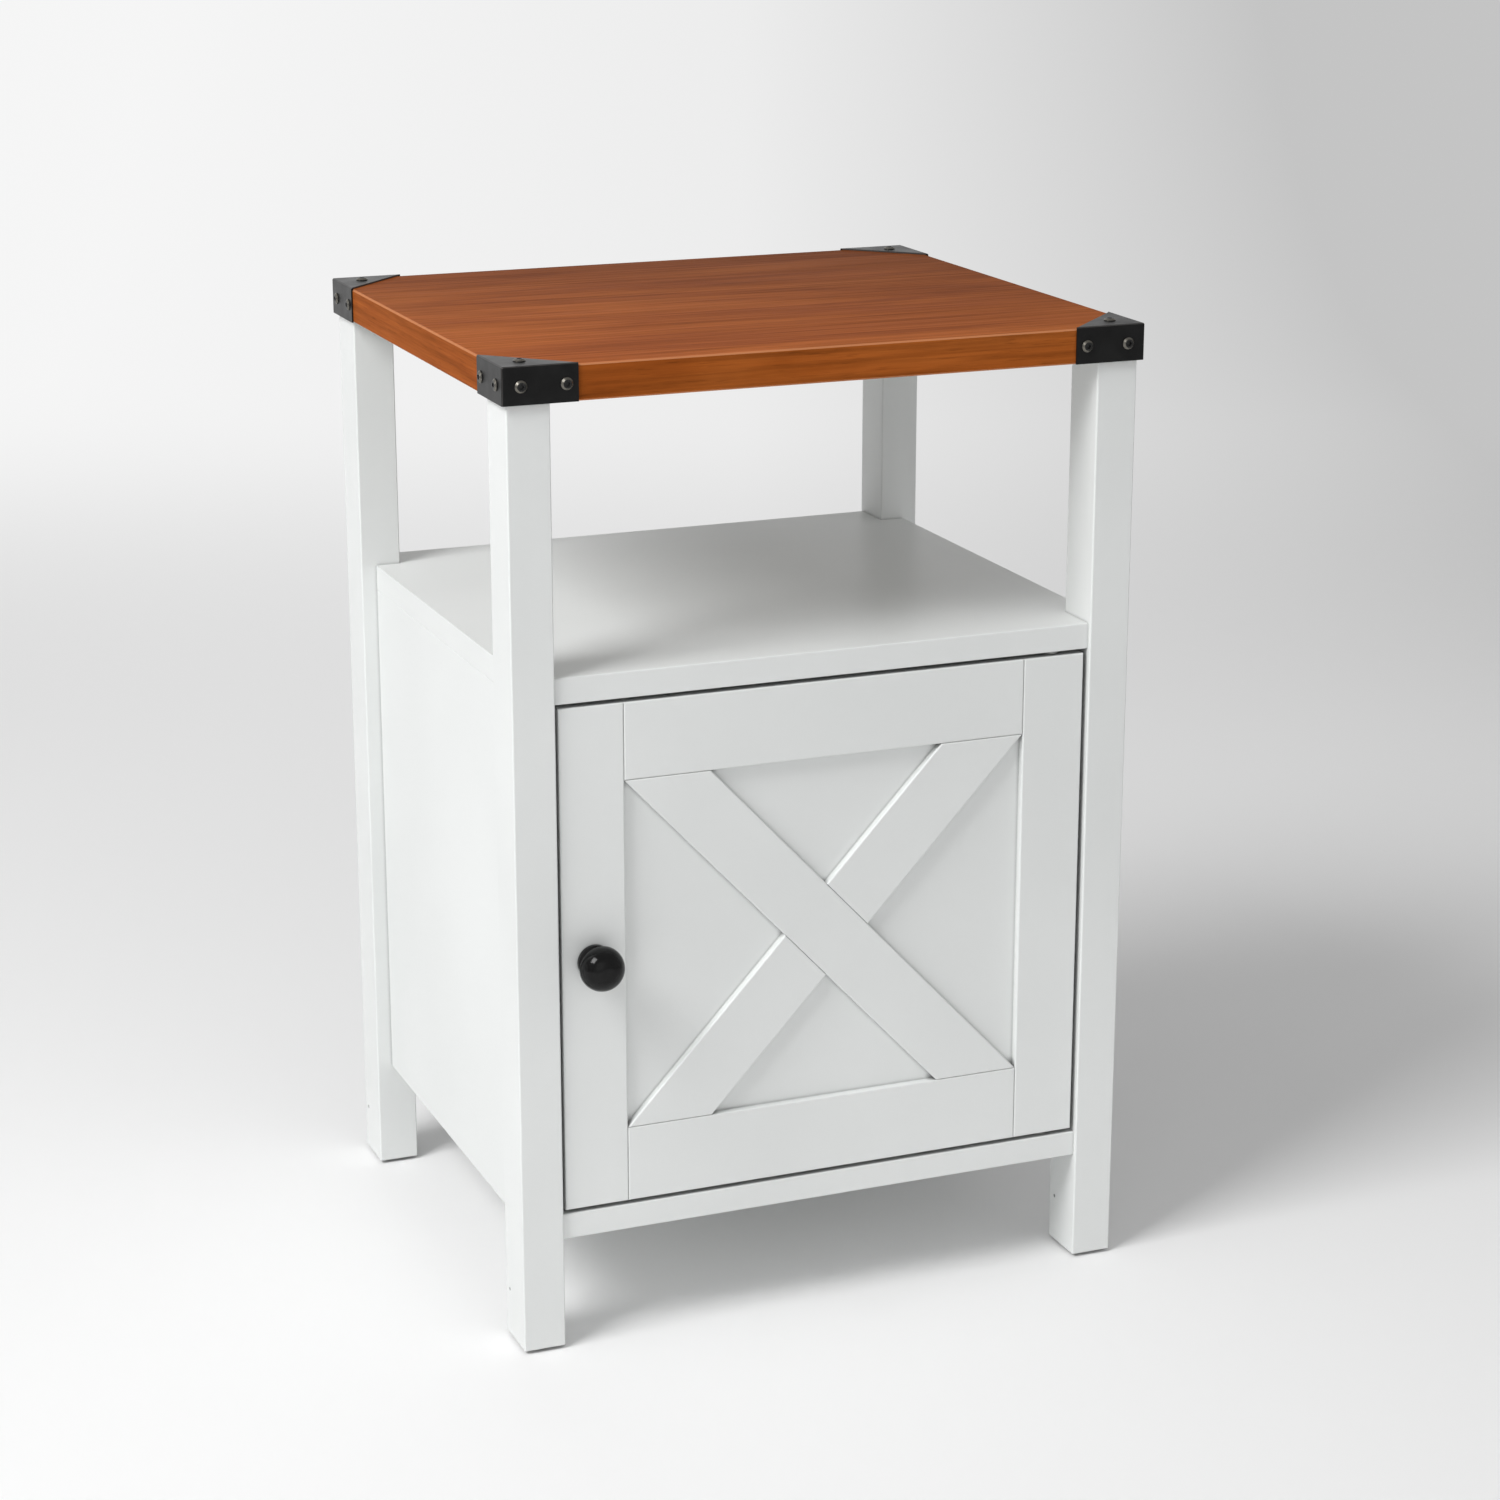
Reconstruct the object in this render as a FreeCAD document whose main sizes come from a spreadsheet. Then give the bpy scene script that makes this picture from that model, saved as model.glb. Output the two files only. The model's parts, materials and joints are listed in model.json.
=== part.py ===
import FreeCAD, Part
import math
import os
import re
import Sketcher
from FreeCAD import Placement, Rotation, Vector

# Nightstand: a wooden top on four straight legs, an open bay under the top and a cabinet
# with one framed door below it. +Z is up, the door faces -Y, and the origin is on the
# floor at the centre of the whole piece, knob included. All lengths are in millimetres.

SIZES = {
    # Whole piece, from the floor to the top of the corner brackets
    "overall_height": 600,
    # Wooden top
    "board_width": 398,
    "board_depth": 348,
    "board_thick": 21,
    "board_bevel": 1,
    # Steel corner brackets of the top
    "bracket_arm": 45,
    "bracket_sheet": 1,
    "bracket_bend": 1.2,
    "bracket_screw_near": 11,
    "bracket_screw_far": 38,
    "bracket_screw_web": 15.5,
    "bracket_screw_radius": 1.75,
    "bracket_screw_length": 9,
    "bracket_head_radius": 3.6,
    "bracket_head_height": 1.5,
    "bracket_socket_radius": 1.7,
    # Legs and their nailed glides
    "leg_width": 26,
    "leg_depth": 34,
    "leg_inset": 2,
    "leg_edge": 1,
    "glide_radius": 9,
    "glide_height": 2,
    "glide_nail_radius": 1.2,
    "glide_nail_length": 12,
    "pilot_radius": 1.2,
    "pilot_depth": 4,
    "pilot_height": 32,
    "pilot_inset": 7,
    # Cabinet panels
    "shelf_height": 418,
    "shelf_thick": 16,
    "floor_clearance": 70,
    "bottom_thick": 16,
    "side_thick": 16,
    "front_recess": 3,
    "panel_edge": 1,
    "back_thick": 4,
    "back_inset": 10,
    "groove_depth": 5,
    "groove_play": 0.2,
    # Cam fittings and dowels that join the panels, the legs and the top
    "cam_radius": 7.4,
    "cam_depth": 12,
    "cam_reach": 24,
    "cam_axis_depth": 7.5,
    "cam_bolt_radius": 2.5,
    "cam_bolt_grip": 11,
    "cam_head_radius": 3.4,
    "cam_head_thick": 3,
    "cam_play": 0.1,
    "cam_setback": 30,
    "cam_slot_length": 9,
    "cam_slot_width": 1.8,
    "cam_slot_depth": 2,
    "dowel_radius": 3,
    "dowel_length": 26,
    "dowel_spacing": 32,
    "panel_fixing_share": 0.25,
    # Inset door: a panel with a glued frame and a crossed brace on its face
    "door_gap": 2.5,
    "door_panel_thick": 13,
    "door_frame_thick": 5,
    "stile_width": 40,
    "rail_width": 47,
    "brace_foot": 54,
    "door_edge": 1,
    # Knob and its screw
    "knob_radius": 13.5,
    "knob_length": 25,
    "knob_flange_radius": 10.5,
    "knob_flange_thick": 2.5,
    "knob_neck_radius": 6,
    "knob_head_length": 13,
    "knob_dome": 11,
    "knob_rim": 2,
    "knob_screw_radius": 2,
    "knob_screw_grip": 10,
    "knob_screw_head_radius": 4,
    "knob_screw_head_height": 2.4,
    # Pivot hinge at the door's top and bottom
    "pivot_pin_radius": 2.5,
    "pivot_pin_grip": 10,
    "pivot_pin_reach": 9,
    "pivot_play": 0.05,
    "pivot_collar_radius": 5,
    "pivot_collar_play": 0.3,
    "bush_radius": 4.5,
    "bush_length": 11,
    "swing_clearance": 0.4,
    # Magnetic catch under the shelf and its plate on the door
    "catch_width": 44,
    "catch_depth": 13,
    "catch_height": 14,
    "catch_inset": 18,
    "catch_edge": 1.5,
    "catch_air": 0.3,
    "magnet_width": 22,
    "magnet_depth": 6,
    "magnet_height": 8,
    "strike_thick": 1.5,
    "strike_width": 38,
    "strike_height": 12,
    "catch_screw_radius": 1.5,
    "catch_screw_grip": 9,
    "catch_screw_head_radius": 2.8,
    "catch_screw_head_height": 1.2,
    # Shape of every screw: its point against its shank, its domed head and its socket
    "screw_tip_share": 0.6,
    "screw_head_wall_share": 0.35,
    "screw_crown_radius_share": 0.7,
    "screw_socket_share": 0.8,
    # How far a cut runs past the face that it opens
    "overrun": 1,
}

# Places and sizes that follow from the ones above. They are counted from the centre of the
# legs, which lies origin_shift behind the origin.
PLACES = {
    "board_x": "board_width / 2",
    "board_y": "board_depth / 2",
    "board_top": "overall_height - bracket_sheet",
    "board_low": "board_top - board_thick",
    "leg_out_x": "board_x - leg_inset",
    "leg_out_y": "board_y - leg_inset",
    "leg_in_x": "leg_out_x - leg_width",
    "leg_in_y": "leg_out_y - leg_depth",
    "leg_middle_x": "leg_out_x - leg_width / 2",
    "shelf_low": "shelf_height - shelf_thick",
    "bottom_top": "floor_clearance + bottom_thick",
    "side_out_x": "leg_in_x + side_thick",
    "side_middle_x": "leg_in_x + cam_axis_depth",
    "side_height": "shelf_low - floor_clearance",
    "front_y": "leg_out_y - front_recess",
    "back_face_y": "leg_out_y - back_inset",
    "panel_fixing_y": "leg_in_y * 2 * panel_fixing_share",
    "cam_bottom_z": "floor_clearance + cam_setback",
    "cam_top_z": "shelf_low - cam_setback",
    "door_thick": "door_panel_thick + door_frame_thick",
    "door_x": "leg_in_x - door_gap",
    "door_low": "bottom_top + door_gap",
    "door_top": "shelf_low - door_gap",
    "door_height": "door_top - door_low",
    "door_face_y": "-front_y",
    "door_panel_y": "door_face_y + door_frame_thick",
    "door_back_y": "door_face_y + door_thick",
    "frame_width": "2 * door_x - 2 * stile_width",
    "frame_height": "door_height - 2 * rail_width",
    "brace_crossing": "frame_height * (frame_width - 2 * brace_foot) / (frame_width - brace_foot) / 2",
    "knob_x": "stile_width / 2 - door_x",
    "door_middle_z": "(door_low + door_top) / 2",
    "swing_room": "door_gap - swing_clearance",
    "pivot_depth": "door_thick / 2",
    "pivot_inset": "(pivot_depth * pivot_depth - swing_room * swing_room) / (2 * swing_room)",
    "pivot_x": "door_x - pivot_inset",
    "pivot_y": "door_face_y + pivot_depth",
    "collar_height": "door_gap - pivot_collar_play",
    "strike_middle_x": "catch_inset + catch_width / 2 - leg_in_x",
    "catch_front_y": "door_back_y + strike_thick + catch_air",
    "catch_middle_z": "shelf_low - catch_height / 2",
    "origin_shift": "(knob_length - door_face_y - board_y - bracket_sheet - bracket_head_height) / 2",
    "catch_screw_step": "(catch_width + magnet_width) / 4",
    "strike_screw_step": "strike_width / 2 - strike_height / 3",
}

DIRECTIONS = {
    "+x": Vector(1, 0, 0),
    "-x": Vector(-1, 0, 0),
    "+y": Vector(0, 1, 0),
    "-y": Vector(0, -1, 0),
    "+z": Vector(0, 0, 1),
    "-z": Vector(0, 0, -1),
}
# Two levels nearer than this share lie in one plane
SAME_PLANE_SHARE = 0.0001
CORNERS = {
    "front_left": (-1, -1),
    "front_right": (1, -1),
    "back_right": (1, 1),
    "back_left": (-1, 1),
}
SIDES = {"left": -1, "right": 1}

doc = FreeCAD.newDocument("nightstand")
dims = doc.addObject("Spreadsheet::Sheet", "dims")
pieces = []
cutters = {}


def fill_sheet():
    """Write every driving size to the sheet, with its name as the cell's alias."""
    for row, (alias, value) in enumerate(SIZES.items(), start=1):
        dims.set("A%d" % row, alias)
        dims.set("B%d" % row, str(value))
        dims.setAlias("B%d" % row, alias)
    doc.recompute()


def expand(text):
    """An expression whose words are read from the sheet, with derived places written out."""
    def read(match):
        word = match.group()
        if word in PLACES:
            return "(" + expand(PLACES[word]) + ")"
        return "dims." + word if word in SIZES else word
    return re.sub(r"[a-z_]+", read, text)


def bind(item, prop, text):
    """Tie a property to an expression of the sheet's sizes."""
    item.setExpression(prop, expand(text))


def put(item, place, turn=Rotation()):
    """Place an object at a point given by three expressions from the centre of the legs."""
    item.Placement = Placement(Vector(), turn)
    bind(item, "Placement.Base.x", place[0])
    bind(item, "Placement.Base.y", place[1] + " + origin_shift")
    bind(item, "Placement.Base.z", place[2])
    return item


def mirrored(sign, text):
    """The expression on the positive or the negative side."""
    return "%d * (%s)" % (sign, text)


def opposite(direction):
    """The direction that points the other way."""
    return {"+": "-", "-": "+"}[direction[0]] + direction[1]


def moved(point, direction, distance):
    """The point moved by a distance along one of the six directions."""
    result = list(point)
    index = "xyz".index(direction[1])
    result[index] = "%s %s (%s)" % (result[index], direction[0], distance)
    return result


def facing(direction):
    """The turn that brings +Z to a direction."""
    return Rotation(Vector(0, 0, 1), DIRECTIONS[direction])


def rod(name, start, direction, radius, length):
    """A round bar from a point along a direction."""
    item = doc.addObject("Part::Cylinder", name)
    bind(item, "Radius", radius)
    bind(item, "Height", length)
    return put(item, start, facing(direction))


def block(name, low, high):
    """A rectangular block between two corners."""
    item = doc.addObject("Part::Box", name)
    for prop, start, end in zip(("Length", "Width", "Height"), low, high):
        bind(item, prop, "%s - (%s)" % (end, start))
    return put(item, low)


def plane(body, role):
    """One of a body's own origin planes."""
    for feature in body.Origin.OriginFeatures:
        if feature.Role == role:
            return feature


def hold_corner(sketch, line, along, text, start):
    """Fix one coordinate of a line's start point, on an axis where the coordinate is zero."""
    if text == "0":
        axis = {"DistanceX": -2, "DistanceY": -1}[along]
        sketch.addConstraint(Sketcher.Constraint("PointOnObject", line, 1, axis))
        return
    number = sketch.addConstraint(Sketcher.Constraint(along, -1, 1, line, 1, start))
    bind(sketch, "Constraints[%d]" % number, text)


def outline(body, role, corners, lift="0"):
    """A closed outline of straight lines, with each corner held by its two coordinates."""
    sketch = body.newObject("Sketcher::SketchObject", body.Name + "_outline")
    sketch.AttachmentSupport = (plane(body, role), [""])
    sketch.MapMode = "FlatFace"
    bind(sketch, "AttachmentOffset.Base.z", lift)
    points = [Vector(*(float(dims.evalExpression(expand(text))) for text in corner), 0) for corner in corners]
    count = len(points)
    for index in range(count):
        sketch.addGeometry(Part.LineSegment(points[index], points[(index + 1) % count]))
    for index in range(count):
        sketch.addConstraint(Sketcher.Constraint("Coincident", index, 2, (index + 1) % count, 1))
    for index, corner in enumerate(corners):
        hold_corner(sketch, index, "DistanceX", corner[0], points[index].x)
        hold_corner(sketch, index, "DistanceY", corner[1], points[index].y)
    return sketch


def rectangle(width, length):
    """The corners of a rectangle that starts at the sketch's origin."""
    return [("0", "0"), (width, "0"), (width, length), ("0", length)]


def pad(body, sketch, length):
    """Pad an outline to a length."""
    feature = body.newObject("PartDesign::Pad", body.Name + "_pad")
    feature.Profile = sketch
    bind(feature, "Length", length)
    return feature


def edges_at(shape, side, along=None):
    """Names of the edges in the shape's outermost plane on one side, such as YMin."""
    level = getattr(shape.BoundBox, side)
    axis = side[0]
    near = shape.BoundBox.DiagonalLength * SAME_PLANE_SHARE
    names = []
    for number, edge in enumerate(shape.Edges, start=1):
        box = edge.BoundBox
        ends = (getattr(box, axis + "Min"), getattr(box, axis + "Max"))
        flat = all(abs(end - level) < near for end in ends)
        if flat and (along is None or getattr(box, along + "Length") > near):
            names.append("Edge%d" % number)
    return names


def edges_along(shape, axis):
    """Names of the straight edges that run the shape's whole length along an axis."""
    near = shape.BoundBox.DiagonalLength * SAME_PLANE_SHARE
    reach = getattr(shape.BoundBox, axis + "Length")
    names = []
    for number, edge in enumerate(shape.Edges, start=1):
        if abs(getattr(edge.BoundBox, axis + "Length") - reach) < near and abs(edge.Length - reach) < near:
            names.append("Edge%d" % number)
    return names


def soften(body, kind, size, choose):
    """Fillet or chamfer the edges that a function picks from the body's shape."""
    doc.recompute()
    base = body.Tip
    feature = body.newObject("PartDesign::" + kind, body.Name + "_" + kind.lower())
    feature.Base = (base, choose(base.Shape))
    bind(feature, {"Fillet": "Radius", "Chamfer": "Size"}[kind], size)
    doc.recompute()


def slab(name, corners, thickness, low, role="XY_Plane", lift="0"):
    """A body padded from one outline, with its own origin at a point."""
    body = doc.addObject("PartDesign::Body", name)
    pad(body, outline(body, role, corners, lift), thickness)
    return put(body, low)


def turned(name, profile, start, direction):
    """A body turned about its axis, from the corners of half its section."""
    body = doc.addObject("PartDesign::Body", name)
    sketch = outline(body, "XZ_Plane", profile)
    feature = body.newObject("PartDesign::Revolution", name + "_turn")
    feature.Profile = sketch
    feature.ReferenceAxis = (sketch, ["V_Axis"])
    feature.Angle = 360
    return put(body, start, facing(direction))


def screw(name, seat, outward, radius, length, head_radius, head_height, socket_radius):
    """A screw with a bevelled head and a hexagon socket, its head on a seat facing outward."""
    profile = [
        ("0", "0"),
        (radius, "(%s) * screw_tip_share" % radius),
        (radius, length),
        (head_radius, length),
        (head_radius, "%s + (%s) * screw_head_wall_share" % (length, head_height)),
        ("(%s) * screw_crown_radius_share" % head_radius, "%s + %s" % (length, head_height)),
        ("0", "%s + %s" % (length, head_height)),
    ]
    solid = turned(name + "_blank", profile, moved(seat, opposite(outward), length), outward)
    # A new prism has six sides
    socket = doc.addObject("Part::Prism", name + "_socket")
    bind(socket, "Circumradius", socket_radius)
    bind(socket, "Height", "(%s) * screw_socket_share + overrun" % head_height)
    floor = moved(seat, outward, "(%s) * (1 - screw_socket_share)" % head_height)
    put(socket, floor, facing(outward))
    return cut(name, solid, [socket])


def cut(name, base, tools):
    """A solid less one or more others."""
    tool = tools[0]
    if len(tools) > 1:
        tool = doc.addObject("Part::MultiFuse", name + "_cutters")
        tool.Shapes = tools
    result = doc.addObject("Part::Cut", name)
    result.Base = base
    result.Tool = tool
    return result


def cut_from(label, cutter):
    """Keep a cutter for the piece that it belongs to."""
    cutters.setdefault(label, []).append(cutter)


def keep(label, blank):
    """Finish a piece: cut its holes, name it and list it."""
    tools = cutters.pop(label, [])
    result = blank
    if tools:
        result = cut(label + "_cut", blank, tools)
        blank.Label = label + "_blank"
    result.Label = label
    pieces.append(result)


def group(label, items):
    """Keep several separate solids of one kind as one piece."""
    result = doc.addObject("Part::Compound", label + "_group")
    result.Links = items
    result.Label = label
    pieces.append(result)


def slot(name, point, mouth, along):
    """A straight slot in a cam's outer face, centred at a point, with its length along an axis."""
    low = list(point)
    high = list(point)
    for index, axis in enumerate("xyz"):
        half = "cam_slot_length / 2" if axis == along else "cam_slot_width / 2"
        reach = [half, half]
        if axis == mouth[1]:
            reach = ["cam_slot_depth", "overrun"] if mouth[0] == "+" else ["overrun", "cam_slot_depth"]
        low[index] += " - " + reach[0]
        high[index] += " + " + reach[1]
    return block(name, low, high)


def cam_fitting(name, anchor, panel, face, into, mouth):
    """A bolt screwed into one piece, with its head drawn in by a cam in the other's bore."""
    centre = moved(face, into, "cam_reach")
    back = opposite(into)
    shank = "cam_bolt_grip + cam_reach - cam_head_thick / 2"
    profile = [
        ("0", "0"),
        ("cam_bolt_radius", "0"),
        ("cam_bolt_radius", shank),
        ("cam_head_radius", shank),
        ("cam_head_radius", shank + " + cam_head_thick"),
        ("0", shank + " + cam_head_thick"),
    ]
    bolt = turned(name + "_bolt", profile, moved(face, back, "cam_bolt_grip"), into)
    outside = moved(centre, mouth, "cam_axis_depth")
    body = rod(name + "_cam_body", outside, opposite(mouth), "cam_radius", "cam_depth")
    hollow = rod(name + "_cam_hollow", moved(centre, back, "cam_radius + overrun"), into,
                 "cam_head_radius + cam_play", "cam_radius + overrun + cam_head_thick")
    cross = [slot(name + "_cam_slot_" + axis, outside, mouth, axis) for axis in "xyz" if axis != mouth[1]]
    cam = cut(name + "_cam", body, [hollow] + cross)
    cut_from(anchor, rod(name + "_thread_hole", moved(face, into, "overrun"), back,
                         "cam_bolt_radius", "cam_bolt_grip + overrun"))
    cut_from(panel, rod(name + "_edge_hole", moved(face, back, "overrun"), into,
                        "cam_head_radius + cam_play", "cam_reach + overrun"))
    cut_from(panel, rod(name + "_cam_hole", moved(centre, mouth, "cam_axis_depth + overrun"), opposite(mouth),
                        "cam_radius + cam_play", "cam_depth + cam_play + overrun"))
    return bolt, cam


def dowel(name, first, second, face, direction):
    """A wooden dowel, half in each of two pieces that meet at a face."""
    back = opposite(direction)
    peg = rod(name, moved(face, back, "dowel_length / 2"), direction, "dowel_radius", "dowel_length")
    hole = rod(name + "_hole", moved(face, back, "dowel_length / 2 + cam_play"), direction,
               "dowel_radius", "dowel_length + 2 * cam_play")
    cut_from(first, hole)
    cut_from(second, hole)
    return peg


def make_fittings():
    """Cam fittings and dowels between the legs, the panels and the top."""
    fittings = []
    leg_pegs = []
    panel_pegs = []
    for corner, (sx, sy) in CORNERS.items():
        leg = "leg_" + corner
        side = "side_panel_" + corner.split("_")[1]
        inward = "+x" if sx < 0 else "-x"
        toward_leg = "+y" if sy > 0 else "-y"
        back_y = "leg_out_y" if sy > 0 else "-leg_in_y"
        top_bolt = (mirrored(sx, "leg_middle_x"), back_y + " - cam_axis_depth", "board_low")
        fittings.append(cam_fitting(corner + "_top", "top_board", leg, top_bolt, "-z", "+y"))
        peg_y = back_y + " - (leg_depth + cam_axis_depth + cam_head_radius) / 2"
        leg_pegs.append(dowel(corner + "_top_peg", "top_board", leg,
                              (mirrored(sx, "leg_middle_x"), peg_y, "board_low"), "+z"))
        for level, sign in (("cam_bottom_z", "+"), ("cam_top_z", "-")):
            face = (mirrored(sx, "side_middle_x"), mirrored(sy, "leg_in_y"), level)
            name = corner + "_" + level[:-2]
            fittings.append(cam_fitting(name, leg, side, face, opposite(toward_leg), inward))
            beside = moved(face, sign + "z", "dowel_spacing")
            panel_pegs.append(dowel(name + "_peg", side, leg, beside, toward_leg))
        shelf_face = (mirrored(sx, "side_middle_x"), mirrored(sy, "panel_fixing_y"), "shelf_low")
        fittings.append(cam_fitting(corner + "_shelf", "shelf_panel", side, shelf_face, "-z", inward))
        bottom_face = (mirrored(sx, "leg_in_x"), mirrored(sy, "panel_fixing_y"),
                       "floor_clearance + cam_axis_depth")
        fittings.append(cam_fitting(corner + "_bottom", side, "bottom_panel", bottom_face, inward, "-z"))
    group("cam_bolts", [bolt for bolt, cam in fittings])
    group("cam_locks", [cam for bolt, cam in fittings])
    group("leg_dowels", leg_pegs)
    group("panel_dowels", panel_pegs)


def make_bracket(corner, sx, sy):
    """A folded corner plate: two arms on the board's edges and a three-cornered web on top."""
    body = doc.addObject("PartDesign::Body", corner + "_bracket")
    arms = outline(body, "XY_Plane", [
        ("0", "0"),
        ("bracket_arm", "0"),
        ("bracket_arm", "bracket_sheet"),
        ("bracket_sheet", "bracket_sheet"),
        ("bracket_sheet", "bracket_arm"),
        ("0", "bracket_arm"),
    ])
    pad(body, arms, "board_thick + bracket_sheet")
    web = outline(body, "XY_Plane", [("0", "0"), ("bracket_arm", "0"), ("0", "bracket_arm")], "board_thick")
    pad(body, web, "bracket_sheet")
    soften(body, "Fillet", "bracket_bend", bend_edges)
    place = (mirrored(sx, "board_x + bracket_sheet"), mirrored(sy, "board_y + bracket_sheet"), "board_low")
    inward = math.degrees(math.atan2(-sy, -sx) - math.atan2(1, 1))
    return put(body, place, Rotation(Vector(0, 0, 1), inward))


def bend_edges(shape):
    """The outer bends of a bracket: its upright corner and the two long top edges."""
    top = set(edges_at(shape, "ZMax"))
    outer = set(edges_at(shape, "XMin")) | set(edges_at(shape, "YMin"))
    upright = set(edges_at(shape, "XMin")) & set(edges_at(shape, "YMin"))
    return sorted((top & outer) | upright)


def bracket_screws(corner, sx, sy):
    """Two screws in each arm and one in the web, each with its hole in plate and board."""
    out_x = "+x" if sx > 0 else "-x"
    out_y = "+y" if sy > 0 else "-y"
    face_x = mirrored(sx, "board_x + bracket_sheet")
    face_y = mirrored(sy, "board_y + bracket_sheet")
    level = "board_low + board_thick / 2"
    seats = [((mirrored(sx, "board_x + bracket_sheet - bracket_screw_web"),
               mirrored(sy, "board_y + bracket_sheet - bracket_screw_web"), "overall_height"), "+z")]
    for step in ("bracket_screw_near", "bracket_screw_far"):
        seats.append(((mirrored(sx, "board_x + bracket_sheet - " + step), face_y, level), out_y))
        seats.append(((face_x, mirrored(sy, "board_y + bracket_sheet - " + step), level), out_x))
    screws = []
    for number, (seat, outward) in enumerate(seats, start=1):
        name = "%s_screw_%d" % (corner, number)
        screws.append(screw(name, seat, outward, "bracket_screw_radius", "bracket_screw_length",
                            "bracket_head_radius", "bracket_head_height", "bracket_socket_radius"))
        hole = rod(name + "_hole", moved(seat, outward, "overrun"), opposite(outward),
                   "bracket_screw_radius", "bracket_screw_length + overrun")
        cut_from("corner_bracket_" + corner, hole)
        cut_from("top_board", hole)
    return screws


def make_top():
    """The wooden top with its four brackets and their screws."""
    screws = []
    for corner, (sx, sy) in CORNERS.items():
        screws += bracket_screws(corner, sx, sy)
        keep("corner_bracket_" + corner, make_bracket(corner, sx, sy))
    group("bracket_screws", screws)
    board = slab("board", rectangle("board_width", "board_depth"), "board_thick",
                 ("-board_x", "-board_y", "board_low"))
    soften(board, "Chamfer", "board_bevel", lambda shape: edges_at(shape, "ZMax") + edges_at(shape, "ZMin"))
    keep("top_board", board)


def make_leg(corner, sx, sy):
    """A leg with eased edges, its glide, and the back panel's groove in the back legs."""
    label = "leg_" + corner
    low_x = "leg_in_x" if sx > 0 else "-leg_out_x"
    low_y = "leg_in_y" if sy > 0 else "-leg_out_y"
    leg = slab(corner + "_leg", rectangle("leg_width", "leg_depth"), "board_low - glide_height",
               (low_x, low_y, "glide_height"))
    soften(leg, "Fillet", "leg_edge", lambda shape: edges_along(shape, "Z") + edges_at(shape, "ZMin"))
    cut_from(label, rod(corner + "_pilot_hole",
                        (low_x + " - overrun", low_y + " + leg_depth - pilot_inset", "pilot_height"), "+x",
                        "pilot_radius", "pilot_depth + overrun"))
    if sy > 0:
        start = "leg_in_x - overrun" if sx > 0 else "-leg_in_x - groove_depth"
        end = "leg_in_x + groove_depth" if sx > 0 else "-leg_in_x + overrun"
        cut_from(label, block(corner + "_leg_groove",
                              (start, "back_face_y - back_thick - groove_play", "bottom_top - groove_depth"),
                              (end, "back_face_y + groove_play", "shelf_low + groove_depth")))
    middle = (low_x + " + leg_width / 2", low_y + " + leg_depth / 2", "0")
    nail = "glide_height + glide_nail_length"
    profile = [
        ("0", "0"),
        ("glide_radius - glide_height / 2", "0"),
        ("glide_radius", "glide_height / 2"),
        ("glide_radius", "glide_height"),
        ("glide_nail_radius", "glide_height"),
        ("glide_nail_radius", nail + " - 2 * glide_nail_radius"),
        ("0", nail),
    ]
    keep("leg_glide_" + corner, turned(corner + "_glide", profile, middle, "+z"))
    cut_from(label, rod(corner + "_nail_hole", middle, "+z", "glide_nail_radius", nail))
    keep(label, leg)


def make_shelf():
    """The cabinet's top, notched round the legs, with the back panel's groove below."""
    long_x = "2 * side_out_x"
    long_y = "2 * front_y"
    notch_x = "side_thick"
    notch_y = "front_y - leg_in_y"
    far_x = "2 * side_out_x - side_thick"
    far_y = "front_y + leg_in_y"
    corners = [
        (notch_x, "0"), (far_x, "0"), (far_x, notch_y), (long_x, notch_y),
        (long_x, far_y), (far_x, far_y), (far_x, long_y), (notch_x, long_y),
        (notch_x, far_y), ("0", far_y), ("0", notch_y), (notch_x, notch_y),
    ]
    shelf = slab("shelf", corners, "shelf_thick", ("-side_out_x", "-front_y", "shelf_low"))
    soften(shelf, "Fillet", "panel_edge",
           lambda shape: edges_at(shape, "YMin", "X") + edges_at(shape, "YMax", "X"))
    groove_low = ("-leg_in_x", "back_face_y - back_thick - groove_play", "shelf_low - overrun")
    groove_high = ("leg_in_x", "back_face_y + groove_play", "shelf_low + groove_depth")
    cut_from("shelf_panel", block("shelf_groove", groove_low, groove_high))
    keep("shelf_panel", shelf)


def make_bottom():
    """The cabinet's floor between the side panels and the legs."""
    bottom = slab("bottom", rectangle("2 * leg_in_x", "2 * front_y"), "bottom_thick",
                  ("-leg_in_x", "-front_y", "floor_clearance"))
    soften(bottom, "Fillet", "panel_edge",
           lambda shape: edges_at(shape, "YMin", "X") + edges_at(shape, "YMax", "X"))
    groove_low = ("-leg_in_x - overrun", "back_face_y - back_thick - groove_play",
                  "bottom_top - groove_depth")
    groove_high = ("leg_in_x + overrun", "back_face_y + groove_play", "bottom_top + overrun")
    cut_from("bottom_panel", block("bottom_groove", groove_low, groove_high))
    keep("bottom_panel", bottom)


def make_sides():
    """The side panels between the front and back legs, under the shelf."""
    for side, sign in SIDES.items():
        low_x = "leg_in_x" if sign > 0 else "-side_out_x"
        panel = slab(side + "_side", rectangle("side_thick", "2 * leg_in_y"), "side_height",
                     (low_x, "-leg_in_y", "floor_clearance"))
        outer = "XMax" if sign > 0 else "XMin"
        soften(panel, "Fillet", "panel_edge", lambda shape: edges_at(shape, outer, "Y"))
        keep("side_panel_" + side, panel)


def make_back():
    """The thin back panel, held in grooves on all four sides."""
    reach = "leg_in_x + groove_depth - groove_play"
    low = ("-(%s)" % reach, "back_face_y - back_thick", "bottom_top - groove_depth + groove_play")
    high = (reach, "back_face_y", "shelf_low + groove_depth - groove_play")
    keep("back_panel", block("back", low, high))


def face_edges(shape):
    """The edges round the front of a piece of the door's frame."""
    return edges_at(shape, "YMin")


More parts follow.
